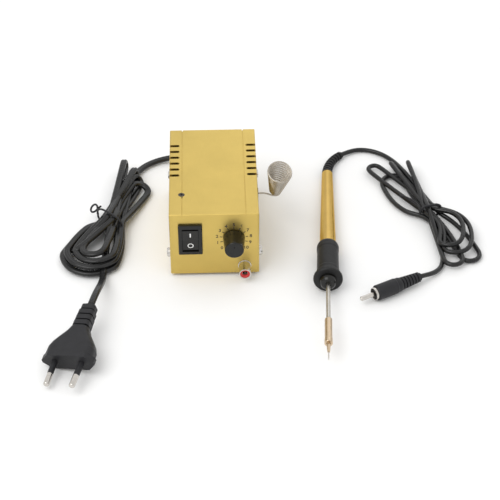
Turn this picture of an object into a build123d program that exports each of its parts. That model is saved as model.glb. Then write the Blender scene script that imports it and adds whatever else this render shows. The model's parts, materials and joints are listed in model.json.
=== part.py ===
from build123d import *
import os
from math import asin, cos, degrees, pi, radians, sin, tan

# Wood burning pen with its low-voltage power station, pen holder, mains lead and pen lead.
# Millimetres, +Z up, -Y is the front. The origin is on the table, at the middle of the
# rectangle that the station and the pen cover. The pen lies on the table to the right of
# the station; both leads lie on the table in tied hanks.
os.makedirs("parts", exist_ok=True)

# ---- Driving dimensions ----------------------------------------------------------------
station_w = 60.0
station_l = 97.0
station_h = 50.5
sheet = 1.2
foot_h = 2.0
side_screw_head = 2.3

pen_length = 208.7  # needle point to the rear end of the gold handle
pen_yaw = 3.63  # degrees, turned so that the rear end points a little outwards
flange_r = 9.9
flange_s = 84.4  # the flange's rear edge; distances along the pen are from the needle point
handle_rear_r = 3.95
pen_gap = 40.4  # from the station's side to the pen's needle point

mains_d = 4.8
pen_lead_d = 3.3

# ---- Where the station and the pen stand ------------------------------------------------
pen_pitch = degrees(asin((flange_r - handle_rear_r) / (pen_length - flange_s)))
pen_axis = Vector(
    sin(radians(pen_yaw)) * cos(radians(pen_pitch)),
    cos(radians(pen_yaw)) * cos(radians(pen_pitch)),
    -sin(radians(pen_pitch)),
)
half_width = (side_screw_head + station_w + pen_gap + pen_length * pen_axis.X + handle_rear_r) / 2
half_depth = (pen_length * pen_axis.Y + 0.3) / 2
station_x = -half_width + side_screw_head + station_w / 2
station_front = -2.7
pen_rear = Vector(half_width - handle_rear_r, half_depth - 0.3, handle_rear_r)
pen_tip = pen_rear - pen_axis * pen_length

station_origin = (station_x, station_front, foot_h)
floor = Plane(origin=station_origin)
front = Plane(origin=station_origin, x_dir=(1, 0, 0), z_dir=(0, -1, 0))  # local y is up
side = Plane(origin=station_origin, x_dir=(0, 1, 0), z_dir=(1, 0, 0))  # local x is rearwards
along_pen = Plane(origin=pen_tip, x_dir=Vector(pen_axis.Y, -pen_axis.X, 0), z_dir=Vector(
    pen_axis.Y, -pen_axis.X, 0).cross(pen_axis))  # local x is the radius, local y the distance
pen_turn = Axis(pen_tip, pen_axis)
left_low = (Align.MIN, Align.MIN)
mid_low = (Align.CENTER, Align.MIN)
tray_w = station_w - 2 * sheet - 0.1
roof = station_h - sheet  # underside of the cover

# ---- Station: sheet-metal case ----------------------------------------------------------
side_screw_y = (5.0, 92.0)
side_screw_z = 15.0
side_screw_cone = 0.8
side_screw_r = 3.25
switch_at = (-16.1, 30.0)
knob_at = (13.1, 29.9)
jack_at = (20.2, 6.6)
lead_hole_at = (-2.0, 12.0)
arm_at = (55.6, 25.0)  # distance from the front, height
heatsink_at = (-21.6, 22.3)
groove_x = 21.2
groove_size = (0.7, 1.8)  # half of the depth lies in the sheet
vent_first_y = 43.9
vent_pitch = 6.85
vent_count = 6
vent_size = (14.0, 2.5)
switch_body = (13.0, 20.4)
post_at = [(x, y) for x in (-20, 20) for y in (28, 46)]
bracket_screw_x = 25.2
transformer_y = 66.0
bolt_at = [(-bracket_screw_x, transformer_y), (bracket_screw_x, transformer_y)]

with BuildPart() as base_tray:
    with BuildSketch(side.offset(-tray_w / 2)):
        Rectangle(station_l, roof, align=left_low)
        with Locations((sheet, sheet)):
            Rectangle(station_l - 2 * sheet, roof, align=left_low, mode=Mode.SUBTRACT)
    extrude(amount=tray_w)
    for x in (-tray_w / 2, tray_w / 2 - sheet):
        with BuildSketch(side.offset(x)):
            for y in (sheet, station_l - sheet - 11):
                with Locations((y, 8)):
                    Rectangle(11, 14, align=left_low)
        extrude(amount=sheet)
    with BuildSketch(side.offset(tray_w / 2)):
        with Locations(*[(y, side_screw_z) for y in side_screw_y]):
            Circle(1.45)
    extrude(amount=-tray_w, mode=Mode.SUBTRACT)
    with BuildSketch(front):
        with Locations(switch_at):
            Rectangle(switch_body[0] + 0.2, switch_body[1] + 0.2)
        with Locations(knob_at):
            Circle(3.6)
        with Locations(jack_at):
            Circle(3.2)
    extrude(amount=-sheet, mode=Mode.SUBTRACT)
    with BuildSketch(front.offset(-station_l)):
        with Locations(lead_hole_at):
            Circle(4.0)
    extrude(amount=sheet, mode=Mode.SUBTRACT)
    with BuildSketch(floor):
        with Locations(*post_at):
            Circle(1.3)
        with Locations(*bolt_at):
            Circle(1.6)
    extrude(amount=sheet, mode=Mode.SUBTRACT)

with BuildPart() as top_cover:
    with BuildSketch(front):
        Rectangle(station_w, station_h, align=mid_low)
        Rectangle(station_w - 2 * sheet, roof, align=mid_low, mode=Mode.SUBTRACT)
    extrude(amount=-station_l)
    long_edges = top_cover.edges().filter_by(Axis.Y).group_by(Axis.Z)[-1]
    fillet(long_edges, radius=0.9)
    with BuildSketch(front):
        for x in (-groove_x, groove_x):
            with Locations((x, station_h)):
                Rectangle(*groove_size)
    extrude(amount=-station_l, mode=Mode.SUBTRACT)
    with BuildSketch(floor.offset(station_h)):
        for x in (-station_w / 2, station_w / 2):
            for i in range(vent_count):
                with Locations((x, vent_first_y + i * vent_pitch)):
                    SlotOverall(*vent_size)
    extrude(amount=-12, mode=Mode.SUBTRACT)
    with BuildSketch(side.offset(station_w / 2)):
        with Locations(*[(y, side_screw_z) for y in side_screw_y]):
            Circle(1.6)
    extrude(amount=-station_w, mode=Mode.SUBTRACT)
    with BuildSketch(side.offset(station_w / 2)):
        with Locations(arm_at):
            Circle(2.6)
    extrude(amount=-2 * sheet, mode=Mode.SUBTRACT)
    with Locations(floor.offset(station_h)):
        with Locations(heatsink_at):
            CounterSinkHole(radius=1.35, counter_sink_radius=2.3, depth=3)
    front_top = top_cover.edges().filter_by(Axis.X).group_by(Axis.Y)[0].group_by(Axis.Z)[-1]
    chamfer(front_top, length=0.35)


def inside(x, y, z):
    """A place inside the station, from its front, bottom and middle."""
    return Vector(station_x + x, station_front + y, foot_h + z)


def cross_recess(plane, size, depth):
    """A cross-shaped driver recess, cut down from a plane into the part being built."""
    with BuildSketch(plane) as cross:
        Rectangle(size, size / 4)
        Rectangle(size / 4, size)
    extrude(cross.sketch, amount=-depth, dir=plane.z_dir, mode=Mode.SUBTRACT)


with BuildPart() as cover_screws:
    for way in (-1, 1):
        for y in side_screw_y:
            seat = Plane(
                origin=inside(way * station_w / 2, y, side_screw_z),
                x_dir=(0, way, 0),
                z_dir=(way, 0, 0),
            )
            with BuildSketch(seat):
                Circle(side_screw_r)
            extrude(amount=side_screw_head - side_screw_cone)
            with BuildSketch(seat.offset(side_screw_head - side_screw_cone)):
                Circle(side_screw_r)
            extrude(amount=side_screw_cone, taper=38)
            with BuildSketch(seat):
                Circle(1.35)
            extrude(amount=-6)
            cross_recess(seat.offset(side_screw_head), 3.2, 1.0)

with BuildPart() as rubber_feet:
    with BuildSketch(floor):
        with Locations(*[(x, y) for x in (-21, 21) for y in (11, 86)]):
            Circle(4)
    extrude(amount=-foot_h, taper=8)

# ---- Station: mains switch --------------------------------------------------------------
bezel_w = 16.1
bezel_h = 24.6
bezel_t = 2.0
rocker_w = 10.6
rocker_h = 18.0
rocker_swing = 5.0  # degrees either side of the middle
rocker_window = (11.0, 19.0)
pivot_depth = 0.5
trunnion_r = 1.0
rocker_pivot = (station_x + switch_at[0], station_front + pivot_depth, foot_h + switch_at[1])

with BuildPart() as switch_frame:
    with BuildSketch(front):
        with Locations(switch_at):
            RectangleRounded(bezel_w, bezel_h, 0.8)
    extrude(amount=bezel_t)
    chamfer(switch_frame.faces().sort_by(Axis.Y)[0].edges(), length=0.5)
    with BuildSketch(front):
        with Locations(switch_at):
            Rectangle(*switch_body)
    extrude(amount=-14)
    with BuildSketch(front.offset(bezel_t)):
        with Locations(switch_at):
            Rectangle(*rocker_window)
    extrude(amount=-bezel_t - 7, mode=Mode.SUBTRACT)
    with BuildSketch(side.offset(switch_at[0] - rocker_window[0] / 2 - 0.6)):
        with Locations((pivot_depth, switch_at[1])):
            Circle(trunnion_r + 0.05)
    extrude(amount=rocker_window[0] + 1.2, mode=Mode.SUBTRACT)

rocker_side = Plane(
    origin=rocker_pivot,
    x_dir=(0, cos(radians(rocker_swing)), sin(radians(rocker_swing))),
    z_dir=(1, 0, 0),
)
with BuildPart() as rocker:
    with BuildSketch(rocker_side.offset(-rocker_w / 2)):
        with BuildLine():
            Polyline(
                (-2.3, -rocker_h / 2), (-1.9, 0), (-2.3, rocker_h / 2), (-0.5, rocker_h / 2),
                (2.2, 3), (4.6, 2.4), (4.6, -2.4), (2.2, -3), (-0.5, -rocker_h / 2), close=True,
            )
        make_face()
    extrude(amount=rocker_w)
    with BuildSketch(rocker_side.offset(-rocker_w / 2 - 0.7)):
        Circle(trunnion_r)
    extrude(amount=rocker_w + 1.4)

with BuildPart() as switch_terminals:
    with BuildSketch(front.offset(-14)):
        with Locations((switch_at[0], switch_at[1] - 5), (switch_at[0], switch_at[1] + 5)):
            Rectangle(4.7, 0.8)
    extrude(amount=-7)

# ---- Station: temperature control -------------------------------------------------------
knob_l = 12.5
knob_gap = 0.8
knob_base_r = 7.4
knob_face_r = 6.35
pot_hub = Plane(
    origin=(station_x + knob_at[0], station_front, foot_h + knob_at[1]), x_dir=(1, 0, 0), z_dir=(0, -1, 0)
)
with BuildPart() as potentiometer:
    with BuildSketch(pot_hub.offset(-sheet)):
        Circle(8.2)
        with Locations((0, -9)):
            Rectangle(13, 6)
    extrude(amount=-7.5)
    with BuildSketch(pot_hub.offset(-sheet)):
        Circle(3.45)
    extrude(amount=sheet + 5)
    with BuildSketch(pot_hub.offset(5)):
        Circle(3.05)
    extrude(amount=-11, mode=Mode.SUBTRACT)
with BuildPart() as pot_nut:
    with BuildSketch(pot_hub):
        RegularPolygon(5.2, 6)
        Circle(3.5, mode=Mode.SUBTRACT)
    extrude(amount=2)
with BuildPart() as pot_shaft:
    with BuildSketch(pot_hub.offset(-5.5)):
        Circle(3.0)
    extrude(amount=17)
    with BuildSketch(pot_hub.offset(11.5)):
        with Locations((0, 2.5)):
            Rectangle(6, 2)
    extrude(amount=-5.5, mode=Mode.SUBTRACT)
with BuildPart() as knob:
    with BuildSketch(pot_hub.offset(knob_gap)):
        Circle(knob_base_r)
    with BuildSketch(pot_hub.offset(knob_gap + knob_l)):
        Circle(knob_face_r)
    loft()
    fillet(knob.faces().sort_by(Axis.Y)[0].edges(), radius=0.7)
    with BuildSketch(pot_hub.offset(knob_gap)):
        Circle(6.0)
    extrude(amount=2.2, mode=Mode.SUBTRACT)
    with BuildSketch(pot_hub.offset(knob_gap)):
        Circle(3.7)
    extrude(amount=4.8, mode=Mode.SUBTRACT)
    with BuildSketch(pot_hub.offset(knob_gap)):
        Circle(3.05)
        with Locations((0, 2.6)):
            Rectangle(6, 2, mode=Mode.SUBTRACT)
    extrude(amount=10.9, mode=Mode.SUBTRACT)
    with BuildSketch(pot_hub.offset(knob_gap)):
        Circle(3.05)
    extrude(amount=5.3, mode=Mode.SUBTRACT)
    with BuildSketch(pot_hub.offset(knob_gap + knob_l)):
        with Locations((0, 4.2)):
            Rectangle(0.7, 4)
    extrude(amount=-0.4, mode=Mode.SUBTRACT)

# ---- Station: phono socket for the pen's plug -------------------------------------------
jack_r = 4.1
jack_l = 10.0
jack_flange_t = 0.8
jack_face_z = 1.2  # the insulator's inner end
contact_l = 6.8
socket = Plane(
    origin=(station_x + jack_at[0], station_front, foot_h + jack_at[1]), x_dir=(1, 0, 0), z_dir=(0, -1, 0)
)
with BuildPart() as jack_shell:
    with BuildSketch(socket):
        Circle(4.5)
    extrude(amount=jack_flange_t)
    with BuildSketch(socket.offset(jack_flange_t)):
        Circle(jack_r)
    extrude(amount=jack_l - jack_flange_t)
    with BuildSketch(socket):
        Circle(3.0)
    extrude(amount=-7)
    with BuildSketch(socket.offset(-7)):
        Circle(2.3)
    extrude(amount=jack_l + 7, mode=Mode.SUBTRACT)
    with BuildSketch(socket.offset(jack_face_z)):
        Circle(3.4)
    extrude(amount=jack_l, mode=Mode.SUBTRACT)
with BuildPart() as jack_insulator:
    with BuildSketch(socket.offset(jack_face_z)):
        Circle(3.4)
        Circle(2.0, mode=Mode.SUBTRACT)
    extrude(amount=jack_l - 1.6)
    chamfer(jack_insulator.faces().sort_by(Axis.Y)[0].edges().sort_by(SortBy.LENGTH)[0], length=0.35)
with BuildPart() as jack_contact:
    contact_floor = socket.offset(jack_face_z + 0.4)
    with BuildSketch(contact_floor):
        Circle(1.98)
        Circle(1.65, mode=Mode.SUBTRACT)
    extrude(amount=contact_l)
    with BuildSketch(contact_floor):
        Circle(1.98)
    extrude(amount=-0.4)
    with BuildSketch(contact_floor):
        Circle(0.8)
    extrude(amount=-11)
with BuildPart() as jack_nut:
    with BuildSketch(socket.offset(-sheet)):
        RegularPolygon(5.0, 6)
        Circle(3.05, mode=Mode.SUBTRACT)
    extrude(amount=-2)

# ---- Station: transformer ---------------------------------------------------------------
core_w = 42.0
core_h = 35.0
core_t = 16.0
window = (7.0, 21.0)
coil_plane = front.offset(-transformer_y + core_t / 2)
with BuildPart() as transformer_core:
    with BuildSketch(coil_plane):
        with Locations((0, sheet + core_h / 2)):
            Rectangle(core_w, core_h)
            with Locations((-10.5, 0), (10.5, 0)):
                Rectangle(*window, mode=Mode.SUBTRACT)
    extrude(amount=-core_t)
with BuildPart() as transformer_winding:
    with BuildSketch(floor.offset(sheet + core_h / 2 - 10)):
        with Locations((0, transformer_y)):
            RectangleRounded(27.6, 29.5, 4)
            Rectangle(14.2, core_t + 0.3, mode=Mode.SUBTRACT)
    extrude(amount=20)
with BuildPart() as transformer_bracket:
    with BuildSketch(front.offset(-transformer_y + 5)):
        with Locations((0, sheet)):
            Rectangle(core_w + 2.2, core_h + 1.1, align=mid_low)
            Rectangle(core_w + 0.1, core_h + 0.05, align=mid_low, mode=Mode.SUBTRACT)
        for x in (-bracket_screw_x + 0.4, bracket_screw_x - 0.4):
            with Locations((x, sheet)):
                Rectangle(6.4, 1.0, align=mid_low)
    extrude(amount=-10)
    with BuildSketch(floor.offset(sheet)):
        with Locations(*bolt_at):
            Circle(1.6)
    extrude(amount=1.0, mode=Mode.SUBTRACT)
with BuildPart() as transformer_screws:
    with BuildSketch(floor):
        with Locations(*bolt_at):
            Circle(2.6)
    extrude(amount=-1.3)
    with BuildSketch(floor):
        with Locations(*bolt_at):
            Circle(1.45)
    extrude(amount=6.5)
with BuildPart() as transformer_nuts:
    with BuildSketch(floor.offset(sheet + 1.0)):
        with Locations(*bolt_at):
            RegularPolygon(2.9, 6)
            Circle(1.5, mode=Mode.SUBTRACT)
    extrude(amount=2.2)

# ---- Station: circuit board and what is on it -------------------------------------------
board_z = 7.0
board_t = 1.6
with BuildPart() as board_posts:
    with BuildSketch(floor.offset(sheet)):
        with Locations(*post_at):
            RegularPolygon(2.6, 6)
    extrude(amount=board_z - sheet)
    with BuildSketch(floor.offset(0.1)):
        with Locations(*post_at):
            Circle(1.25)
    extrude(amount=board_z + board_t + 1.2)
with BuildPart() as circuit_board:
    with BuildSketch(floor.offset(board_z)):
        with Locations((0, 37)):
            Rectangle(47, 27)
        with Locations(*post_at):
            Circle(1.3, mode=Mode.SUBTRACT)
    extrude(amount=board_t)
with BuildPart() as smoothing_capacitor:
    with BuildSketch(floor.offset(board_z + board_t)):
        with Locations((6, 37)):
            Circle(5)
    extrude(amount=16)
    fillet(smoothing_capacitor.faces().sort_by(Axis.Z)[-1].edges(), radius=0.6)
with BuildPart() as rectifier_diodes:
    for x in (-16, -12, -8, -4):
        diode = front.offset(-34)
        with BuildSketch(diode):
            with Locations((x, board_z + board_t + 1.8)):
                Circle(1.35)
        extrude(amount=-5.2)
        with BuildSketch(diode.offset(2)):
            with Locations((x, board_z + board_t + 1.8)):
                Circle(0.4)
        extrude(amount=-9.2)
        with BuildSketch(floor.offset(board_z + board_t)):
            with Locations((x, 32.4), (x, 40.8)):
                Circle(0.3)
        extrude(amount=1.8)
with BuildPart() as power_transistor:
    with BuildSketch(floor.offset(roof)):
        with Locations((heatsink_at[0], heatsink_at[1] + 3)):
            Rectangle(10, 15)
        with Locations(heatsink_at):
            Circle(1.8, mode=Mode.SUBTRACT)
    extrude(amount=-1.3)
    with BuildSketch(floor.offset(roof - 0.6)):
        with Locations((heatsink_at[0], heatsink_at[1] + 8)):
            Rectangle(10, 8)
    extrude(amount=-3.9)
    with BuildSketch(front.offset(-heatsink_at[1] - 11)):
        with Locations(*[(heatsink_at[0] + dx, roof - 2.6) for dx in (-2.54, 0, 2.54)]):
            Rectangle(0.8, 0.6)
    extrude(amount=-12)
with BuildPart() as heatsink_screw:
    with BuildSketch(floor.offset(station_h - 0.1)):
        with Locations(heatsink_at):
            Circle(2.1)
    with BuildSketch(floor.offset(station_h - 1.1)):
        with Locations(heatsink_at):
            Circle(1.2)
    loft()
    with BuildSketch(floor.offset(station_h - 1.1)):
        with Locations(heatsink_at):
            Circle(1.2)
    extrude(amount=-5.6)
    cross_recess(Plane(origin=inside(*heatsink_at, station_h - 0.1)), 2.4, 0.7)
with BuildPart() as heatsink_nut:
    with BuildSketch(floor.offset(roof - 1.3)):
        with Locations(heatsink_at):
            RegularPolygon(2.6, 6)
            Circle(1.25, mode=Mode.SUBTRACT)
    extrude(amount=-2)


def wire(points, radius, bend):
    """One insulated wire: straight runs with bends of one radius."""
    with BuildLine() as run:
        FilletPolyline(*points, radius=bend)
    with BuildSketch(Plane(origin=run.line @ 0, z_dir=run.line % 0)) as section:
        Circle(radius)
    sweep(section.sketch, path=run.line)


with BuildPart() as mains_wires:
    for lift, terminal_z in ((0, -5), (2.6, 5)):
        wire(
            [
                inside(lead_hole_at[0] - 1 + lift, 95.5, lead_hole_at[1]),
                inside(lead_hole_at[0] - 1 + lift, 88 + lift, lead_hole_at[1]),
                inside(-26, 88 + lift, 18 + lift),
                inside(-26, 30, 18 + lift),
                inside(switch_at[0], 27, switch_at[1] + terminal_z),
                inside(switch_at[0], 21.1, switch_at[1] + terminal_z),
            ],
            0.9,
            2.5,
        )
with BuildPart() as output_wires:
    board_top = board_z + board_t
    jack_x, jack_z = jack_at
    wire(
        [
            inside(jack_x, 9.4, jack_z),
            inside(jack_x, 16, jack_z),
            inside(jack_x, 20, 14),
            inside(16.5, 33, 14),
            inside(16.5, 33, board_top),
        ],
        0.7,
        1.2,
    )
    wire(
        [
            inside(knob_at[0], 8.7, 20),
            inside(knob_at[0], 14, 20),
            inside(knob_at[0], 33, 16),
            inside(knob_at[0], 33, board_top),
        ],
        0.7,
        1.5,
    )

# ---- Station: bushes in the walls -------------------------------------------------------
grommet_out = 4.0
with BuildPart() as mains_grommet:
    rear_hole = Plane(
        origin=inside(lead_hole_at[0], station_l, lead_hole_at[1]), x_dir=(-1, 0, 0), z_dir=(0, 1, 0)
    )
    with BuildSketch(rear_hole):
        Circle(5.6)
    extrude(amount=grommet_out, taper=12)
    with BuildSketch(rear_hole):
        Circle(3.95)
    extrude(amount=-sheet)
    with BuildSketch(rear_hole.offset(-sheet)):
        Circle(5.2)
    extrude(amount=-1.6)
    with BuildSketch(rear_hole.offset(-sheet)):
        with Locations((1, 0), (-1.6, 0)):
            Circle(0.95)
    extrude(amount=-1.6, mode=Mode.SUBTRACT)
arm_bore_r = 0.65
arm_hole = Plane(origin=inside(station_w / 2, *arm_at), x_dir=(0, 1, 0), z_dir=(1, 0, 0))
with BuildPart() as holder_bush:
    with BuildSketch(arm_hole):
        Circle(3.6)
    extrude(amount=1.2)
    with BuildSketch(arm_hole):
        Circle(2.55)
    extrude(amount=-4)
    with BuildSketch(arm_hole.offset(1.2)):
        Circle(arm_bore_r)
    extrude(amount=-5.2, mode=Mode.SUBTRACT)

# ---- Pen holder: one wire, an arm and a tapering coil -----------------------------------
holder_wire_r = 0.6
coil_h = 31.0
coil_pitch = 2.4
coil_foot_r = 3.6
coil_mouth_r = 8.15
coil_axis = Vector(0.083, -0.46, 0.88).normalized()
coil_foot = inside(43.3, 59.0, 24.1)
arm_way = Vector(1, 0, -0.1)
coil_start_side = arm_way.cross(coil_axis).normalized()
coil_place = Plane(origin=coil_foot, x_dir=coil_start_side, z_dir=coil_axis)
cone = degrees(asin((coil_mouth_r - coil_foot_r) / coil_h))
coil_line = coil_place.from_local_coords(Edge.make_helix(coil_pitch, coil_h, coil_foot_r, angle=cone))
with BuildPart() as spring_holder:
    with BuildLine() as arm:
        Line(inside(25.5, *arm_at), inside(33.5, *arm_at))
        Spline(inside(33.5, *arm_at), coil_line @ 0, tangents=[Vector(1, 0, 0), coil_line % 0])
    with BuildSketch(Plane(origin=arm.line @ 0, z_dir=(1, 0, 0))):
        Circle(holder_wire_r)
    sweep(path=arm.line)
    with BuildSketch(Plane(origin=coil_line @ 0, z_dir=coil_line % 0)):
        Circle(holder_wire_r)
    sweep(path=coil_line, is_frenet=True)


# ---- Cords ------------------------------------------------------------------------------
def cord_tube(name, points, diameter):
    """A cord's free stretch: straight runs joined by arcs as large as the runs allow."""
    corners = [Vector(*point) for point in points]
    runs = [b - a for a, b in zip(corners, corners[1:])]
    radii = []
    for before, after in zip(runs, runs[1:]):
        half_turn = radians(before.get_angle(after)) / 2
        radii.append(0.45 * min(before.length, after.length) / tan(half_turn))
    with BuildPart() as tube:
        with BuildLine() as route:
            FilletPolyline(*corners, radius=radii)
        with BuildSketch(Plane(origin=route.line @ 0, z_dir=route.line % 0)):
            Circle(diameter / 2)
        sweep(path=route.line)
    length = route.wire().length
    section = pi * diameter**2 / 4
    print(name, "runs", [round(run.length, 1) for run in runs], "radii", [round(r, 1) for r in radii])
    print(name, "length", round(length, 1), "volume / (section x length)",
          round(tube.part.volume / section / length, 4))
    return tube


def hank(waist, waist_r, groups, height, groove):
    """The outer shape of a tied hank: two fans of loops, pinched where the tie goes round."""
    with BuildPart() as bundle:
        for circles in groups:
            with BuildSketch():
                with BuildLine():
                    for x, y, r in [*circles, (*waist, waist_r)]:
                        CenterArc((x, y), r, 0, 360)
                make_hull()
            extrude(amount=height)
        fillet(bundle.faces().sort_by(Axis.Z)[-1].edges(), radius=2.5)
        with BuildSketch(Plane(origin=(*waist, 0), z_dir=(0, 0, 1), x_dir=groove[0])):
            Rectangle(4 * waist_r, groove[1])
        extrude(amount=groove[2], mode=Mode.SUBTRACT)
    return bundle


def tie(waist, across, inner_w, inner_h, low, wire_t):
    """A twist tie: a flat loop round the hank and its twisted ends standing out at one side."""
    along = Vector(*across).cross(Vector(0, 0, 1))
    middle = Plane(origin=(*waist, low + inner_h / 2), x_dir=across, z_dir=along)
    with BuildPart() as loop:
        with BuildSketch(middle.offset(-wire_t / 2)):
            RectangleRounded(inner_w + 2 * wire_t, inner_h + 2 * wire_t, 4)
            RectangleRounded(inner_w, inner_h, 3, mode=Mode.SUBTRACT)
        extrude(amount=wire_t)
        with BuildSketch(middle.offset(-1.4)):
            with Locations((-inner_w / 2 - wire_t - 4.8, 1.5)):
                RectangleRounded(10, 3, 1.2)
        extrude(amount=2.8)
    return loop


grommet_face = inside(lead_hole_at[0], station_l + grommet_out, lead_hole_at[1])
mains_route = [
    (grommet_face.X, grommet_face.Y, grommet_face.Z),
    (grommet_face.X, 107.5, 13.4),
    (-33.4, 117.7, 11.0),
    (-41.6, 125.3, 7.4),
    (-53.4, 129.3, 4.2),
    (-66.1, 128.1, 2.6),
    (-76.1, 122.2, 2.5),
    (-82.6, 114.2, 2.7),
    (-86.6, 104.7, 3.6),
]
mains_waist = (-99.6, 49.7)
mains_across = (0.965, -0.26, 0)
mains_tie_t = 1.8

plug_yaw = 15.8
plug_rise = 9.4
plug_roll = 10.7  # the right-hand side lies higher
plug_face = Vector(-121.9, -96.2, 9.3)
plug_way = Vector(
    sin(radians(plug_yaw)) * cos(radians(plug_rise)),
    cos(radians(plug_yaw)) * cos(radians(plug_rise)),
    sin(radians(plug_rise)),
)
plug_level = Vector(plug_way.Y, -plug_way.X, 0).normalized()
plug_up = plug_level.cross(plug_way)
plug_side = plug_level * cos(radians(plug_roll)) + plug_up * sin(radians(plug_roll))
plug_l = 47.0
plug_end = plug_face + plug_way * plug_l
mains_end_route = [
    (-104.0, 1.1, 3.0),
    (-103.5, -8.9, 4.6),
    (-104.0, -19.4, 8.8),
    (-105.0, -29.6, 13.6),
    (-106.9, -40.8, 17.0),
    (plug_end.X, plug_end.Y, plug_end.Z),
]
mains_lead = cord_tube("mains lead", mains_route, mains_d)
mains_lead_end = cord_tube("mains lead end", mains_end_route, mains_d)
mains_hank = hank(
    mains_waist, 10, [[(-111.6, 19.0, 20.0)], [(-92.6, 111.1, 9.5), (-83.1, 91.7, 10)]], 14,
    (mains_across, 4, mains_tie_t + 0.2),
)
mains_tie = tie(mains_waist, mains_across, 20.4, 12.4, mains_tie_t, mains_tie_t)

# ---- Mains plug: two round pins ---------------------------------------------------------
plug_plane = Plane(origin=plug_face, x_dir=plug_side, z_dir=plug_way)
pin_spacing = 18.6
pin_end_spacing = 17.5
pin_r = 2.0
pin_out = 19.0
pin_in = 8.0
pin_core_r = 1.55
sleeve_l = 10.0
sleeve_gap = 0.07
plate_half_w = 18.1
plate_t = 4.0
neck_s = 27.5
neck_block_pitch = 4.6
neck_block_gap = 1.1
pin_lean = Vector(plug_side * (pin_spacing - pin_end_spacing) / 2 / pin_out)
pin_planes = [
    Plane(
        origin=plug_face + plug_side * way * pin_spacing / 2,
        x_dir=plug_side,
        z_dir=(plug_way + pin_lean * way).normalized(),
    )
    for way in (-1, 1)
]
with BuildPart() as mains_plug_body:
    with BuildSketch(plug_plane):
        with BuildLine():
            Polyline(
                (-plate_half_w, 1.2), (-12.8, 6.7), (12.8, 6.7), (plate_half_w, 1.2),
                (plate_half_w, -1.2), (12.8, -6.7), (-12.8, -6.7), (-plate_half_w, -1.2), close=True,
            )
        make_face()
    extrude(amount=plate_t)
    sections = [
        (plate_t, 32.8, 12.0, 4.6),
        (9.5, 32.4, 12.0, 4.6),
        (13.5, 29.4, 11.8, 4.6),
        (18.0, 23.6, 11.2, 4.6),
        (23.0, 16.6, 10.6, 4.4),
        (neck_s, 12.4, 10.0, 4.0),
    ]
    for pair in zip(sections, sections[1:]):
        for s, w, h, r in pair:
            with BuildSketch(plug_plane.offset(s)):
                RectangleRounded(w, h, r)
        loft()
    with BuildSketch(plug_plane.offset(neck_s)):
        RectangleRounded(6.8, 5.8, 2)
    extrude(amount=plug_l - neck_s)
    for i, w in enumerate((11.4, 11.1, 10.8, 9.8)):
        block_s = neck_s + neck_block_gap + neck_block_pitch * i
        with BuildSketch(plug_plane.offset(block_s)):
            RectangleRounded(w, w * 0.82, 2.4)
        extrude(amount=neck_block_pitch - neck_block_gap)
    for plane in pin_planes:
        with BuildSketch(plane.offset(-1)):
            Circle(pin_core_r + 0.05)
        extrude(amount=pin_in + 1, mode=Mode.SUBTRACT)
with BuildPart() as mains_plug_pins:
    for plane in pin_planes:
        with BuildSketch(plane.offset(pin_in)):
            Circle(pin_core_r)
        extrude(amount=-pin_in - sleeve_l)
        with BuildSketch(plane.offset(-sleeve_l)):
            Circle(pin_r)
        extrude(amount=sleeve_l - pin_out)
    pin_ends = mains_plug_pins.faces().sort_by(Axis(plug_face, plug_way))[:2].edges()
    fillet(pin_ends, radius=1.2)
with BuildPart() as mains_pin_sleeves:
    for plane in pin_planes:
        with BuildSketch(plane.offset(-sleeve_gap)):
            Circle(pin_r)
            Circle(pin_core_r + 0.05, mode=Mode.SUBTRACT)
        extrude(amount=sleeve_gap - sleeve_l)


# ---- Pen --------------------------------------------------------------------------------
def turned(outline):
    """Turn a closed outline of (radius, distance from the needle point) about the pen's axis."""
    with BuildSketch(along_pen) as half:
        with BuildLine():
            Polyline(*outline, close=True)
        make_face()
    revolve(half.sketch, axis=pen_turn)


shank_end = 31.0
shank_hole_s = 14.7
shank_hole_r = 0.55
with BuildPart() as tip_needle:
    turned([(0, 0), (0.16, 0.1), (0.45, 2.5), (0.45, 16), (0, 16)])
with BuildPart() as tip_shank:
    turned(
        [
            (0.47, 7.8), (0.8, 7.8), (1.0, 9.2), (1.45, 15.6), (1.45, shank_end),
            (0, shank_end), (0, 16.1), (0.47, 16.1),
        ]
    )
    shank_top = Plane(origin=pen_tip + pen_axis * shank_hole_s, x_dir=pen_axis, z_dir=along_pen.z_dir)
    with BuildSketch(shank_top.offset(0.75)):
        Circle(shank_hole_r)
    extrude(amount=2, mode=Mode.SUBTRACT)
with BuildPart() as tip_holder:
    turned(
        [
            (1.5, 16.0), (2.5, 16.0), (2.7, 16.4), (2.7, 20.4), (2.5, 21.2), (2.5, 39.9), (1.9, 40.9),
            (1.55, 40.9), (1.55, 36), (0, 36), (0, shank_end + 0.5), (1.5, shank_end + 0.5),
        ]
    )
with BuildPart() as heater_tube:
    turned([(1.1, 36.1), (1.5, 36.1), (1.5, 98), (1.1, 98)])
with BuildPart() as heater_core:
    turned([(0, 37), (0.95, 37), (0.95, 97.5), (0, 97.5)])
with BuildPart() as pen_nose:
    turned(
        [
            (1.6, 76.9), (3.0, 76.9), (4.3, 77.4), (5.3, 78.5), (5.8, 80.0), (5.9, 81.9), (2.9, 81.9),
            (2.9, 84), (1.6, 84),
        ]
    )
grip_end = 121.0
handle_front = 112.2
with BuildPart() as pen_grip:
    turned(
        [
            (3.0, 82), (9.2, 82), (flange_r, 82.8), (flange_r, flange_s), (9.1, 85.6), (8.1, 86.6),
            (7.8, 89), (7.8, 91.5), (7.5, 92.2), (7.35, 112.8), (7.6, 114.2), (7.6, 118.2), (7.1, 119.8),
            (6.2, grip_end), (5.6, grip_end), (5.6, handle_front), (5.45, handle_front), (5.45, 84.1),
            (3.0, 84.1),
        ]
    )
with BuildPart() as heater_insulator:
    turned([(1.55, 84.3), (5.4, 84.3), (5.4, 112), (1.55, 112)])
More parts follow.
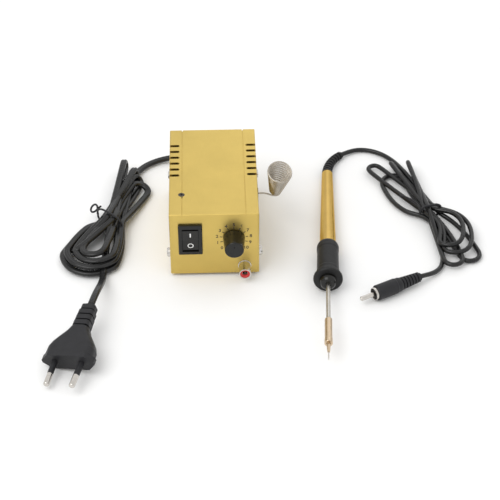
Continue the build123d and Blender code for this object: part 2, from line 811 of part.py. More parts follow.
with BuildPart() as pen_handle:
    turned(
        [
            (4.6, handle_front + 0.1), (5.5, handle_front + 0.1), (5.5, 131), (handle_rear_r, pen_length),
            (3.15, pen_length),
        ]
    )


def pen_point(s, across):
    """A place on the pen, at a distance from the needle point and out from the axis."""
    return pen_tip + pen_axis * s + along_pen.x_dir * across


with BuildPart() as pen_wires:
    for across in (-1.0, 1.0):
        with BuildSketch(Plane(origin=pen_point(98.2, across), z_dir=pen_axis)):
            Circle(0.55)
        extrude(amount=100)
with BuildPart() as cord_clamp:
    turned([(1.7, 193), (2.6, 193), (2.6, 197.5), (1.7, 197.5)])

relief_steps = 4
relief_ribs = 9
relief_rib_step = 0.11  # as a share of the relief's length
relief_end = Vector(68.2, 129.3, 2.9)
relief_line = Edge.make_spline([pen_rear, relief_end], tangents=[pen_axis, Vector(0.77, 0.63, -0.04)])
with BuildPart() as pen_strain_relief:
    for i in range(relief_steps + 1):
        t = i / relief_steps
        with BuildSketch(Plane(origin=relief_line @ t, z_dir=relief_line % t)):
            Circle(3.1 - 0.9 * t)
    loft()
    for i in range(relief_ribs):
        t = 0.02 + relief_rib_step * i
        with BuildSketch(Plane(origin=relief_line @ t, z_dir=relief_line % t)):
            Circle(3.8 - 0.11 * i)
        extrude(amount=1.5 if i else 1.9)
    with BuildSketch(Plane(origin=pen_rear, z_dir=pen_axis)):
        Circle(3.05)
    extrude(amount=-8)

pen_route = [
    (relief_end.X, relief_end.Y, relief_end.Z),
    (74.8, 134.3, 2.3),
    (82.5, 136.9, 1.8),
    (91.1, 135.4, 1.7),
    (99.3, 130.3, 1.7),
    (105.9, 122.3, 1.8),
    (110.8, 112.2, 2.6),
    (114.2, 102.6, 3.6),
]
phono_yaw = 27.5
phono_r = 5.3
phono_way = Vector(cos(radians(phono_yaw)), sin(radians(phono_yaw)), 0)
phono_point = Vector(68.9, -37.0, phono_r + 0.05)
phono_l = 47.5
phono_end = phono_point + phono_way * phono_l
pen_end_route = [
    (129.5, 13.1, 2.4),
    (129.2, 5.1, 1.8),
    (126.8, -2.3, 1.8),
    (122.2, -8.1, 2.8),
    (116.6, -12.1, 4.2),
    (phono_end.X, phono_end.Y, phono_end.Z),
]
pen_waist = (126.0, 55.6)
pen_across = (0.9, 0.436, 0)
pen_tie_t = 1.6
pen_lead = cord_tube("pen lead", pen_route, pen_lead_d)
pen_lead_end = cord_tube("pen lead end", pen_end_route, pen_lead_d)
pen_hank = hank(
    pen_waist, 8, [[(146.4, 12.7, 11.5), (135.4, 8.7, 9.5), (143.9, 39.7, 9)],
                   [(91.9, 113.2, 5), (113.4, 107.7, 6), (105.4, 83.7, 11)]], 11,
    (pen_across, 3.6, pen_tie_t + 0.2),
)
pen_tie = tie(pen_waist, pen_across, 16.4, 9.8, pen_tie_t, pen_tie_t)

# ---- Phono plug -------------------------------------------------------------------------
phono_axis = Axis(phono_point, phono_way)
along_phono = Plane(origin=phono_point, x_dir=Vector(phono_way.Y, -phono_way.X, 0), z_dir=Vector(
    phono_way.Y, -phono_way.X, 0).cross(phono_way))


def turned_plug(outline):
    """Turn a closed outline of (radius, distance from the pin's point) about the plug's axis."""
    with BuildSketch(along_phono) as half:
        with BuildLine():
            Polyline(*outline, close=True)
        make_face()
    revolve(half.sketch, axis=phono_axis)


phono_pin_r = 1.6
ring_front = 10.4
ring_end = 16.6
insulator_end = 15.8
rib_first = 32.6
rib_pitch = 2.4
with BuildPart() as phono_pin:
    turned_plug(
        [
            (0, 0), (1.1, 0), (phono_pin_r, 0.6), (phono_pin_r, ring_front), (1.25, ring_front + 0.1),
            (1.25, insulator_end), (0, insulator_end),
        ]
    )
with BuildPart() as phono_insulator:
    turned_plug([(1.3, 12.2), (3.9, 12.2), (3.9, insulator_end), (1.3, insulator_end)])
with BuildPart() as phono_ring:
    turned_plug([(3.95, ring_front), (4.3, ring_front), (4.3, ring_end), (3.95, ring_end)])
with BuildPart() as phono_body:
    rear = [(0, phono_l), (2.6, phono_l)]
    ribs = []
    for i in range(6):
        s = rib_first + rib_pitch * i
        r = 4.3 - 0.16 * i
        ribs += [(r, s), (r, s + 1.5), (r - 1.1, s + 1.6), (r - 1.15, s + 2.3)]
    turned_plug(
        [
            (4.35, 12.4), (4.8, 12.1), (phono_r, 13.0), (phono_r, 27.4), (4.9, 28.0), (4.9, 30.2),
            (4.4, 31.8), (3.4, 32.2), *ribs, *rear[::-1], (0, ring_end + 0.2), (4.35, ring_end + 0.2),
        ]
    )

# ---- Every piece, by name ---------------------------------------------------------------
pieces = {
    "base_tray": base_tray,
    "top_cover": top_cover,
    "cover_screws": cover_screws,
    "rubber_feet": rubber_feet,
    "switch_frame": switch_frame,
    "rocker": rocker,
    "switch_terminals": switch_terminals,
    "potentiometer": potentiometer,
    "pot_nut": pot_nut,
    "pot_shaft": pot_shaft,
    "knob": knob,
    "jack_shell": jack_shell,
    "jack_insulator": jack_insulator,
    "jack_contact": jack_contact,
    "jack_nut": jack_nut,
    "transformer_core": transformer_core,
    "transformer_winding": transformer_winding,
    "transformer_bracket": transformer_bracket,
    "transformer_screws": transformer_screws,
    "transformer_nuts": transformer_nuts,
    "board_posts": board_posts,
    "circuit_board": circuit_board,
    "smoothing_capacitor": smoothing_capacitor,
    "rectifier_diodes": rectifier_diodes,
    "power_transistor": power_transistor,
    "heatsink_screw": heatsink_screw,
    "heatsink_nut": heatsink_nut,
    "mains_wires": mains_wires,
    "output_wires": output_wires,
    "mains_grommet": mains_grommet,
    "holder_bush": holder_bush,
    "spring_holder": spring_holder,
    "mains_lead": mains_lead,
    "mains_lead_end": mains_lead_end,
    "mains_hank": mains_hank,
    "mains_tie": mains_tie,
    "mains_plug_body": mains_plug_body,
    "mains_plug_pins": mains_plug_pins,
    "mains_pin_sleeves": mains_pin_sleeves,
    "tip_needle": tip_needle,
    "tip_shank": tip_shank,
    "tip_holder": tip_holder,
    "heater_tube": heater_tube,
    "heater_core": heater_core,
    "pen_nose": pen_nose,
    "pen_grip": pen_grip,
    "heater_insulator": heater_insulator,
    "pen_handle": pen_handle,
    "pen_wires": pen_wires,
    "cord_clamp": cord_clamp,
    "pen_strain_relief": pen_strain_relief,
    "pen_lead": pen_lead,
    "pen_lead_end": pen_lead_end,
    "pen_hank": pen_hank,
    "pen_tie": pen_tie,
    "phono_pin": phono_pin,
    "phono_insulator": phono_insulator,
    "phono_ring": phono_ring,
    "phono_body": phono_body,
}
print(len(pieces), "nodes")
for name, piece in pieces.items():
    piece.part.label = name
    export_step(piece.part, f"parts/{name}.step")
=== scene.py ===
import json
import math

import bmesh
import bpy
from mathutils import Matrix, Vector


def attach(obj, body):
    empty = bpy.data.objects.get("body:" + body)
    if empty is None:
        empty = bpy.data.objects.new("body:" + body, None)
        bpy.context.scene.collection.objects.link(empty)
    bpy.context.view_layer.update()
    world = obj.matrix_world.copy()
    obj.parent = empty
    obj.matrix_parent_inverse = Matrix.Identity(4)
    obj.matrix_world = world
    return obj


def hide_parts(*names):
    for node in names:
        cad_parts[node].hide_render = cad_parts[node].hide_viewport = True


# A wood burning pen, its power station, pen holder and two tied leads. Metres, in the CAD frame.
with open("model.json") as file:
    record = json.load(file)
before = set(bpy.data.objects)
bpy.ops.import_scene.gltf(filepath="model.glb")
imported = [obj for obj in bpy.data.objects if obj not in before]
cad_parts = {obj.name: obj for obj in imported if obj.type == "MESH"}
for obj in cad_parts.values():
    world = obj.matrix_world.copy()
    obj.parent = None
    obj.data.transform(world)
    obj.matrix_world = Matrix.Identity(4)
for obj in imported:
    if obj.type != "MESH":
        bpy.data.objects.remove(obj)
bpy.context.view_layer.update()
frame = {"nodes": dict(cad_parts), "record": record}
nodes = frame["nodes"]
mm = 0.001
UP = Vector((0, 0, 1))


# ---- Camera -----------------------------------------------------------------------------
def add_camera(place, yaw, elevation, roll, lens):
    """A camera at a place, turned right by yaw, looking down by elevation and rolled; degrees and mm."""
    yaw, elevation, roll = (math.radians(a) for a in (yaw, elevation, roll))
    level = math.cos(elevation)
    ahead = Vector((math.sin(yaw) * level, math.cos(yaw) * level, -math.sin(elevation)))
    right = Vector((math.cos(yaw), -math.sin(yaw), 0))
    up = right.cross(ahead)
    right, up = (
        math.cos(roll) * right + math.sin(roll) * up,
        math.cos(roll) * up - math.sin(roll) * right,
    )
    data = bpy.data.cameras.new("camera")
    data.lens = lens
    data.sensor_width = 36.0
    data.clip_end = 10.0
    camera = bpy.data.objects.new("camera", data)
    camera.matrix_world = Matrix.Translation(place) @ Matrix((right, up, -ahead)).transposed().to_4x4()
    bpy.context.collection.objects.link(camera)
    bpy.context.scene.camera = camera


add_camera(Vector((-27.2, -835.4, 708.1)) * mm, yaw=1.61, elevation=39.5, roll=-0.16, lens=115.2)


# ---- Materials --------------------------------------------------------------------------
NOISE_LOW, NOISE_HIGH = 0.3, 0.7  # nearly all of a noise texture's values lie between these


def finish(
    name, colour, roughness, metallic=0.0, mottle=0.06, mottle_size=14.0, grain=(1, 1, 1), grain_size=0.5,
    rough_range=0.08, bump=0.02, tint=None, specular=0.5,
):
    """A procedural surface. Sizes are in mm.

    mottle is how far the colour varies over mottle_size. The grain has grain_size and is squeezed by
    grain along each axis; it varies the roughness by rough_range and stands bump high.
    """
    material = bpy.data.materials.new(name)
    material.use_nodes = True
    tree = material.node_tree
    shader = tree.nodes["Principled BSDF"]
    shader.inputs["Metallic"].default_value = metallic
    shader.inputs["Specular IOR Level"].default_value = specular
    if tint:
        shader.inputs["Specular Tint"].default_value = (*tint, 1)
    where = tree.nodes.new("ShaderNodeTexCoord")

    def noise(size, stretch, detail):
        spread = tree.nodes.new("ShaderNodeMapping")
        spread.inputs["Scale"].default_value = [s / (size * mm) for s in stretch]
        texture = tree.nodes.new("ShaderNodeTexNoise")
        texture.inputs["Scale"].default_value = 1.0
        texture.inputs["Detail"].default_value = detail
        texture.inputs["Roughness"].default_value = 0.6
        tree.links.new(where.outputs["Object"], spread.inputs["Vector"])
        tree.links.new(spread.outputs["Vector"], texture.inputs["Vector"])
        return texture.outputs["Fac"]

    broad = noise(mottle_size, (1, 1, 1), 3.0)
    fine = noise(grain_size, grain, 4.0)
    ramp = tree.nodes.new("ShaderNodeValToRGB")
    ramp.color_ramp.elements[0].position = NOISE_LOW
    ramp.color_ramp.elements[1].position = NOISE_HIGH
    ramp.color_ramp.elements[0].color = (*[c * (1 - mottle) for c in colour], 1)
    ramp.color_ramp.elements[1].color = (*[min(1, c * (1 + mottle)) for c in colour], 1)
    tree.links.new(broad, ramp.inputs["Fac"])
    tree.links.new(ramp.outputs["Color"], shader.inputs["Base Color"])
    gloss = tree.nodes.new("ShaderNodeMapRange")
    gloss.inputs["From Min"].default_value = NOISE_LOW
    gloss.inputs["From Max"].default_value = NOISE_HIGH
    gloss.inputs["To Min"].default_value = max(0.03, roughness - rough_range)
    gloss.inputs["To Max"].default_value = min(1, roughness + rough_range)
    tree.links.new(fine, gloss.inputs["Value"])
    tree.links.new(gloss.outputs["Result"], shader.inputs["Roughness"])
    relief = tree.nodes.new("ShaderNodeBump")
    relief.inputs["Strength"].default_value = 1.0
    relief.inputs["Distance"].default_value = bump * mm
    tree.links.new(fine, relief.inputs["Height"])
    tree.links.new(relief.outputs["Normal"], shader.inputs["Normal"])
    return material


EVEN = (1, 1, 1)
ALONG = (1, 0.04, 1)  # grain drawn out along the case
looks = {}


def add_look(name, *settings, **more):
    """Make a surface and keep it under its name."""
    looks[name] = finish(name, *settings, **more)


add_look("gold_anodised", (0.63, 0.465, 0.135), 0.36, 1.0, 0.05, 30, ALONG, 0.35, 0.07, 0.004)
add_look(
    "gold_handle", (0.60, 0.41, 0.135), 0.24, 1.0, 0.06, 18, (1, 6, 1), 0.6, 0.05, 0.002,
    tint=(0.85, 0.68, 0.40),
)
add_look("nickel", (0.62, 0.60, 0.57), 0.22, 1.0, 0.08, 5, EVEN, 0.6, 0.08, 0.004)
add_look("spring_wire", (0.46, 0.42, 0.36), 0.26, 1.0, 0.15, 4, EVEN, 0.5, 0.1, 0.006)
add_look("steel", (0.50, 0.48, 0.44), 0.25, 1.0, 0.08, 9, (1, 8, 1), 0.5, 0.08, 0.004)
add_look("copper_alloy", (0.62, 0.49, 0.34), 0.30, 1.0, 0.08, 6, (1, 8, 1), 0.5, 0.08, 0.004)
add_look("silver_metal", (0.62, 0.59, 0.55), 0.22, 1.0, 0.08, 5, EVEN, 0.7, 0.07, 0.004)
add_look("black_gloss", (0.006, 0.006, 0.005), 0.16, 0, 0.2, 8, EVEN, 0.8, 0.06, 0.002, specular=0.4)
add_look("black_matte", (0.014, 0.014, 0.016), 0.5, 0, 0.18, 6, EVEN, 0.4, 0.1, 0.02, specular=0.35)
add_look("black_rubber", (0.010, 0.010, 0.010), 0.5, 0, 0.2, 8, EVEN, 0.35, 0.1, 0.018, specular=0.32)
add_look("cord_black", (0.006, 0.006, 0.006), 0.27, 0, 0.25, 7, EVEN, 0.6, 0.08, 0.012, specular=0.45)
add_look("red_plastic", (0.55, 0.02, 0.02), 0.3, 0, 0.1, 3, EVEN, 0.5, 0.08, 0.004)
add_look("white_ceramic", (0.75, 0.73, 0.68), 0.6, 0, 0.06, 4, EVEN, 0.4, 0.1, 0.01)
add_look("board_green", (0.02, 0.10, 0.04), 0.35, 0, 0.15, 5, EVEN, 0.5, 0.08, 0.004)
add_look("winding_yellow", (0.60, 0.42, 0.06), 0.45, 0, 0.12, 5, (1, 1, 12), 0.4, 0.1, 0.02)
add_look("lamination", (0.10, 0.10, 0.10), 0.5, 0.8, 0.2, 4, (1, 14, 1), 0.4, 0.12, 0.03)
add_look("white_plastic", (0.80, 0.80, 0.78), 0.4, 0, 0.05, 4, EVEN, 0.5, 0.08, 0.006)
add_look("mark_dark", (0.035, 0.028, 0.018), 0.6, 0, 0.2, 3, EVEN, 0.4, 0.1, 0.002)
add_look("mark_white", (0.85, 0.85, 0.83), 0.45, 0, 0.05, 3, EVEN, 0.4, 0.1, 0.002)
add_look("dark_steel", (0.10, 0.09, 0.08), 0.35, 1.0, 0.1, 4, EVEN, 0.4, 0.1, 0.006)
add_look("floor", (0.90, 0.90, 0.895), 0.65, 0, 0.01, 60, EVEN, 2.0, 0.05, 0.01, specular=0.2)

slot_of = {part["node"]: part["material_slot"] for part in frame["record"]["subparts"]}
for name, piece in nodes.items():
    piece.data.materials.clear()
    look = "dark_steel" if name == "heatsink_screw" else slot_of[name]
    piece.data.materials.append(looks[look])


# ---- Cords ------------------------------------------------------------------------------
def points(*places):
    """Places given in millimetres, as vectors in metres."""
    return [Vector(place) * mm for place in places]


CORNER = 0.414  # tan(22.5 degrees): a half turn drawn with this much on each side is nearly round
UPRIGHT = 45  # a loop rolled further than this has the lead folded across its thin side


def lobe(waist, slots, apex, widths, height, roll, bow=0.0, wrists=(0.5, 0.5)):
    """Control points of one loop of a tied hank: out of one slot of the tie, round and back to another.

    apex is the fold's far end in plan and height its middle's height. widths are how far the arms
    stand off the loop's middle line going out and coming back, roll turns the loop from flat (0) to
    upright (90), bow bends its middle line sideways, wrists say how soon each arm spreads (small is
    soon), and slots are the (across, up) places of both arms at the tie. All in mm, degrees.
    """
    far = Vector((apex[0] - waist[0], apex[1] - waist[1], 0))
    reach = far.length
    along = far.normalized()
    level = Vector((-along.y, along.x, 0))
    cross = level * math.cos(math.radians(roll)) + UP * math.sin(math.radians(roll))
    out, back = widths
    half = (out + back) / 2
    middle = (out - back) / 2
    start = Vector((*waist, 0))
    bend = reach - (1 - CORNER) * half

    def arm(fraction, slot, width, wrist):
        ease = math.sin(fraction * math.pi / 2) ** (2 * wrist)
        tied = ACROSS[waist] * slot[0] * (1 - ease) + UP * (slot[1] * (1 - ease) + height * ease)
        bowed = level * bow * math.sin(math.pi * min(1, fraction * 0.9 + 0.1 * ease))
        return start + along * bend * fraction + tied + cross * width * ease + bowed

    steps = (0.2, 0.4, 0.6, 0.8)
    places = [arm(f, slots[0], out, wrists[0]) for f in steps]
    round_end = ((bend, out), (reach, middle + CORNER * half), (reach, middle - CORNER * half), (bend, -back))
    for distance, side in round_end:
        places.append(start + along * distance + UP * height + cross * side)
    places += [arm(f, slots[1], -back, wrists[1]) for f in reversed(steps)]
    flat = along.cross(cross) if roll > UPRIGHT else None
    return [(place * mm, flat) for place in places]


def slot_point(waist, across, up):
    """Where a strand passes through the tie; it lies flat there."""
    return (Vector((*waist, up)) + ACROSS[waist] * across) * mm, ACROSS[waist].copy()


def hank(waist, turns, leave):
    """Control points, with the lead's width directions, of a whole hank, from the first slot to the last."""
    places = []
    for i, (down, up, front, behind) in enumerate(turns):
        following = turns[i + 1][0] if i + 1 < len(turns) else leave
        places.append(slot_point(waist, *down))
        places += lobe(waist, (down, up), *front)
        places.append(slot_point(waist, *up))
        places += lobe(waist, (up, following), *behind)
    places.append(slot_point(waist, *leave))
    return places


MAINS_WAIST = (-99.6, 49.7)
PEN_WAIST = (126.0, 55.6)
ACROSS = {MAINS_WAIST: Vector((0.965, -0.26, 0)), PEN_WAIST: Vector((0.9, 0.436, 0))}

mains_route = points(
    (-29.6, 98.3, 14.0), (-29.6, 107.5, 13.4), (-33.4, 117.7, 11.0), (-41.6, 125.3, 7.4), (-53.4, 129.3, 4.2),
    (-66.1, 128.1, 2.6), (-76.1, 122.2, 2.5), (-82.6, 114.2, 2.7), (-86.6, 104.7, 3.6),
)
# How soon a loop's two arms spread, going out and coming back; small is soon.
SOON = (0.15, 0.5)
LEFT_SOON = (0.5, 0.2)
# Each turn: slots going down and up (across, up), the loop in front and the loop behind. A loop has
# its apex, its widths, its height and its roll, then its bow and wrists where they matter.
mains_turns = [
    (
        (7.0, 4.2), (-2.4, 4.0),
        ((-118.8, -1.0), (19.5, 20.0), 3.1, 0, 0.0, LEFT_SOON), ((-79.0, 94.0), (6.0, 7.0), 5.0, 20),
    ),
    (
        (7.4, 7.6), (-7.0, 4.0),
        ((-117.0, 1.8), (17.4, 18.0), 6.2, 0, 0.0, LEFT_SOON), ((-82.1, 101.3), (4.0, 4.6), 5.5, 50),
    ),
    (
        (2.4, 4.0), (-6.4, 7.6),
        ((-114.2, 6.0), (14.8, 13.2), 7.8, 4), ((-84.3, 107.6), (3.6, 3.6), 7.2, 80),
    ),
    (
        (2.6, 7.8), (-2.2, 7.8),
        ((-112.4, 10.5), (7.5, 8.5), 9.6, 8), ((-92.4, 117.5), (3.6, 3.6), 7.4, 84),
    ),
    (
        (3.0, 11.4), (-2.4, 11.4),
        ((-124.2, 18.6), (3.2, 3.2), 6.4, 40), ((-89.5, 97.5), (3.4, 3.4), 5.4, 70),
    ),
]
mains_end_route = points(
    (-104.0, 1.1, 3.0), (-103.5, -8.9, 4.6), (-104.0, -19.4, 8.8), (-105.0, -29.6, 13.6),
    (-106.9, -40.8, 17.0),
)
pen_route = points(
    (68.2, 129.3, 2.9), (74.8, 134.3, 2.3), (82.5, 136.9, 1.8), (91.1, 135.4, 1.7), (99.3, 130.3, 1.7),
    (105.9, 122.3, 1.8), (110.8, 112.2, 2.6), (114.2, 102.6, 3.6),
)
pen_turns = [
    (
        (5.6, 3.4), (-5.4, 3.4),
        ((150.0, 4.5), (8.5, 6.0), 1.9, 0, 3.0, SOON), ((101.5, 103.0), (10.0, 8.0), 1.9, 0, 5.0, SOON),
    ),
    (
        (1.8, 3.4), (-1.8, 3.4),
        ((137.0, -1.7), (7.0, 6.5), 3.9, 0, 1.0), ((88.8, 113.0), (4.5, 5.0), 3.6, 0),
    ),
    (
        (5.2, 6.8), (-2.0, 6.8),
        ((143.0, 10.5), (11.0, 11.0), 5.4, 4, 8.0, SOON), ((104.5, 113.6), (2.8, 2.8), 5.0, 50),
    ),
    (
        (1.8, 6.8), (-5.0, 6.8),
        ((138.0, 16.0), (9.0, 9.0), 7.4, 6, 7.0, SOON), ((116.5, 112.5), (2.8, 2.8), 6.0, 72),
    ),
]
pen_end_route = points(
    (129.5, 13.1, 2.4), (129.2, 5.1, 1.8), (126.8, -2.3, 1.8), (122.2, -8.1, 2.8), (116.6, -12.1, 4.2),
)
plug_end = Vector((-109.3, -51.6, 17.0)) * mm
phono_end = Vector((111.0, -15.1, 5.35)) * mm


def curve_object(name, places, bevel=0.0):
    """One open NURBS spline with the given control points."""
    data = bpy.data.curves.new(name, "CURVE")
    data.dimensions = "3D"
    data.resolution_u = 8
    spline = data.splines.new("NURBS")
    spline.points.add(len(places) - 1)
    for point, place in zip(spline.points, places):
        point.co = (*place, 1)
    spline.order_u = 3
    spline.use_endpoint_u = True
    data.bevel_depth = bevel
    data.bevel_resolution = 5
    data.use_fill_caps = bevel > 0
    item = bpy.data.objects.new(name, data)
    bpy.context.collection.objects.link(item)
    return item


def line_points(line):
    """The points of a cord's spline, in order."""
    mesh = bpy.data.meshes.new_from_object(line)
    places = [vertex.co.copy() for vertex in mesh.vertices]
    bpy.data.meshes.remove(mesh)
    return places


def length_of(path):
    return sum((b - a).length for a, b in zip(path, path[1:]))


def mesh_object(name, mesh, look):
    mesh.materials.append(looks[look])
    item = bpy.data.objects.new(name, mesh)
    bpy.context.collection.objects.link(item)
    return item


def twin_profile(width, thickness, steps=12):
    """The section of a flat twin lead: two round cores that run into each other."""
    core = thickness / 2
    offset = width / 2 - core
    opening = math.pi - math.acos(offset / core)
    turns = [opening * (2 * k / steps - 1) for k in range(steps)]
    right = [(offset + core * math.cos(a), core * math.sin(a)) for a in turns]
    return right + [(-x, -y) for x, y in right]


def swept(name, path, widths, profile, look):
    """A tube of one section along a path; its width follows the given directions."""
    shape = bmesh.new()
    rings = []
    last = None
    for i, place in enumerate(path):
        ahead = (path[min(i + 1, len(path) - 1)] - path[max(i - 1, 0)]).normalized()
        at = i / (len(path) - 1) * (len(widths) - 2) + 0.5
        k = min(int(at), len(widths) - 2)
        across = widths[k].lerp(widths[k + 1], at - k)
        across = (across - ahead * across.dot(ahead)).normalized()
        if last is not None and across.dot(last) < 0:
            across.negate()
        last = across
        up = ahead.cross(across)
        rings.append([shape.verts.new(place + across * x + up * y) for x, y in profile])
    for a, b in zip(rings, rings[1:]):
        for k in range(len(profile)):
            j = (k + 1) % len(profile)
            shape.faces.new((a[k], a[j], b[j], b[k]))
    shape.faces.new(rings[0][::-1])
    shape.faces.new(rings[-1])
    bmesh.ops.recalc_face_normals(shape, faces=shape.faces)
    mesh = bpy.data.meshes.new(name)
    shape.to_mesh(mesh)
    shape.free()
    for face in mesh.polygons:
        face.use_smooth = True
    return mesh_object(name, mesh, look)


def lying(places, widths):
    """Width directions, turned to follow one another; level and square to the lead where none is given."""
    turned = []
    for i, way in enumerate(widths):
        if way is None:
            way = (places[min(i + 1, len(places) - 1)] - places[max(i - 1, 0)]).cross(UP).normalized()
        turned.append(-way if turned and way.dot(turned[-1]) < 0 else way)
    return turned


LEAD_WIDTH = 4.8 * mm
LEAD_THICKNESS = 3.2 * mm
PEN_LEAD = 3.3 * mm

mains_hank = hank(MAINS_WAIST, mains_turns, leave=(-0.4, 11.2))
mains_places = mains_route + [place for place, _ in mains_hank] + mains_end_route + [plug_end]
mains_widths = [None] * len(mains_route) + [way for _, way in mains_hank]
mains_widths += [None] * (len(mains_end_route) + 1)
mains_line = curve_object("mains_line", mains_places)
mains_path = line_points(mains_line)
bpy.data.objects.remove(mains_line)
mains_section = twin_profile(LEAD_WIDTH, LEAD_THICKNESS)
mains_lead = swept("mains_flex", mains_path, lying(mains_places, mains_widths), mains_section, "cord_black")

pen_hank = hank(PEN_WAIST, pen_turns, leave=(-1.6, 9.4))
pen_places = pen_route + [place for place, _ in pen_hank] + pen_end_route + [phono_end]
pen_lead = curve_object("pen_flex", pen_places)
pen_path = line_points(pen_lead)
pen_lead.data.bevel_depth = PEN_LEAD / 2
pen_lead.data.use_fill_caps = True
pen_lead.data.materials.append(looks["cord_black"])


# ---- Ties -------------------------------------------------------------------------------
def tie(name, waist, across, half_width, heights, tail, radius, body, node):
    """A wire tie: once round the hank and out into its twisted ends. tail is in (across, along, up), mm."""
    across = Vector(across).normalized()
    along = UP.cross(across)
    low, high = heights
    middle = (low + high) / 2

    def place(a, b, c):
        return (Vector((*waist, 0)) + across * a + along * b + UP * c) * mm

    ring = []
    for k in range(13):
        turn = math.pi * (1 - 2 * k / 12)
        corner = 1.12 - 0.12 * math.cos(4 * turn)
        ring.append(place(
            half_width * math.cos(turn) * corner,
            0.4 * (k / 12 - 0.5),
            middle + (high - middle) * math.sin(turn) * corner,
        ))
    item = curve_object(name, ring + [place(*t) for t in tail], radius * mm)
    item.data.materials.append(looks["black_matte"])
    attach(item, body)
    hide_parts(node)
    return item


mains_wire = tie(
    "mains_wire_tie", (-101.3, 51.0), (0.76, -0.65, 0), 11.2, (0.9, 13.8),
    [(-11.9, 0.5, 8.5), (-12.5, 1.5, 10.5), (-14.5, 3.0, 11.5), (-17.0, 3.5, 11.0), (-18.3, 1.5, 9.5),
     (-17.3, -1.0, 8.0), (-15.2, -1.5, 7.4), (-13.8, 0.5, 8.0), (-13.5, 3.0, 9.5), (-12.0, 4.5, 11.0)],
    0.7, "station", "mains_tie",
)
pen_wire = tie(
    "pen_wire_tie", PEN_WAIST, (0.97, 0.24, 0), 7.6, (0.9, 11.0),
    [(-7.6, 1.0, 9.0), (-7.2, 5.0, 9.0), (-8.5, 11.0, 8.5), (-11.5, 17.0, 7.6), (-14.9, 22.3, 6.6)],
    0.85, "pen", "pen_tie",
)

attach(mains_lead, "station")
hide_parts("mains_lead", "mains_lead_end", "mains_hank")
print("mains lead length", length_of(mains_path), "pen lead length", length_of(pen_path))
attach(pen_lead, "pen")
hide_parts("pen_lead", "pen_lead_end", "pen_hank")

# ---- Marks on the front panel and the switch --------------------------------------------
STATION_X = -27.62
PANEL_Y = -2.7
FOOT = 2.0
PROUD = 0.03  # marks stand this far in front of what they are printed on


def text_mark(name, word, size, place, look):
    """A printed character on the front panel, at (across, up) from the station's middle and base."""
    data = bpy.data.curves.new(name, "FONT")
    data.body = word
    data.size = size * mm
    data.extrude = 0.01 * mm
    data.offset = 0.08 * mm
    data.align_x = "CENTER"
    data.align_y = "CENTER"
    data.materials.append(looks[look])
    item = bpy.data.objects.new(name, data)
    item.location = Vector((STATION_X + place[0], PANEL_Y - PROUD, FOOT + place[1])) * mm
    item.rotation_euler = (math.pi / 2, 0, 0)
    bpy.context.collection.objects.link(item)
    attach(item, "station")


def strip(name, outline, look, body):
    """Thin printed patches; outline is their corners in mm and each patch's corner numbers."""
    mesh = bpy.data.meshes.new(name)
    mesh.from_pydata([Vector(p) * mm for p in outline[0]], [], outline[1])
    item = mesh_object(name, mesh, look)
    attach(item, body)


DIAL = (13.1, 29.9)
TICK_FROM, TICK_TO, TICK_HALF = 7.9, 9.6, 0.3
NUMBERS_AT, NUMBER_SIZE = 11.5, 3.5
ticks = ([], [])
for i in range(11):
    turn = math.radians(225 - 27 * i)
    out = Vector((math.cos(turn), math.sin(turn)))
    side = Vector((-out.y, out.x))
    first = len(ticks[0])
    corners = ((TICK_FROM, -TICK_HALF), (TICK_TO, -TICK_HALF), (TICK_TO, TICK_HALF), (TICK_FROM, TICK_HALF))
    for r, w in corners:
        spot = Vector(DIAL) + out * r + side * w
        ticks[0].append((STATION_X + spot.x, PANEL_Y - PROUD, FOOT + spot.y))
    ticks[1].append(tuple(range(first, first + 4)))
    text_mark(f"dial_number_{i}", str(i), NUMBER_SIZE, Vector(DIAL) + out * NUMBERS_AT, "mark_dark")
strip("dial_ticks", ticks, "mark_dark", "station")

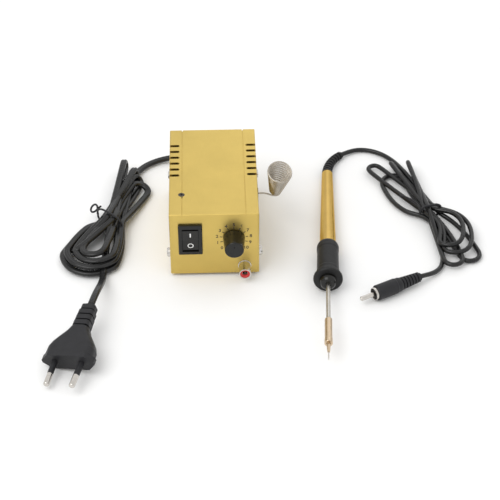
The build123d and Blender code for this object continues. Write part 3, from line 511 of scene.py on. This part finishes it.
SWITCH = (-16.1, 30.0)
SWING = math.radians(5.0)
PIVOT = Vector((STATION_X + SWITCH[0], PANEL_Y + 0.5, FOOT + SWITCH[1]))
INWARD = Vector((0, math.cos(SWING), math.sin(SWING)))
ROCKER_UP = Vector((0, -math.sin(SWING), math.cos(SWING)))


def on_rocker(x, v):
    """A place just in front of the rocker's dished face."""
    depth = -1.9 - 0.4 * abs(v) / 9.0 - PROUD
    return tuple(PIVOT + Vector((x, 0, 0)) + INWARD * depth + ROCKER_UP * v)


bar = ([on_rocker(x, v) for x, v in ((-0.42, 3.0), (0.42, 3.0), (0.42, 6.6), (-0.42, 6.6))], [(0, 1, 2, 3)])
strip("switch_bar", bar, "mark_white", "rocker")
ring = ([], [])
for k in range(32):
    turn = 2 * math.pi * k / 32
    for r in (1.45, 2.0):
        ring[0].append(on_rocker(r * math.cos(turn), -4.7 + r * math.sin(turn)))
    ring[1].append(tuple((2 * k + n) % 64 for n in (0, 1, 3, 2)))
strip("switch_ring", ring, "mark_white", "rocker")

# ---- Floor and light --------------------------------------------------------------------
FLOOR_REACH = 3.0
FLOOR_Z = -0.3 * mm  # just under the feet and the leads
floor = bpy.data.meshes.new("floor")
floor_corners = [(x * FLOOR_REACH, y * FLOOR_REACH, FLOOR_Z) for x, y in ((-1, -1), (1, -1), (1, 1), (-1, 1))]
floor.from_pydata(floor_corners, [], [(0, 1, 2, 3)])
mesh_object("floor", floor, "floor")

world = bpy.data.worlds.new("world")
bpy.context.scene.world = world
world.use_nodes = True
world.node_tree.nodes["Background"].inputs["Color"].default_value = (1, 1, 1, 1)
world.node_tree.nodes["Background"].inputs["Strength"].default_value = 0.92
bpy.context.scene.view_settings.view_transform = "Standard"


def softbox(name, place, aim, size, energy):
    """A large soft light at a place, turned towards another."""
    data = bpy.data.lights.new(name, "AREA")
    data.shape = "RECTANGLE"
    data.size, data.size_y = size
    data.energy = energy
    item = bpy.data.objects.new(name, data)
    item.location = place
    item.rotation_euler = (Vector(aim) - Vector(place)).to_track_quat("-Z", "Y").to_euler()
    bpy.context.collection.objects.link(item)


softbox("key", (-0.7, -0.5, 1.3), (0, 0, 0), (1.2, 0.9), 9.0)
softbox("back", (0.5, 1.1, 0.9), (0, 0, 0), (1.4, 0.6), 1.2)
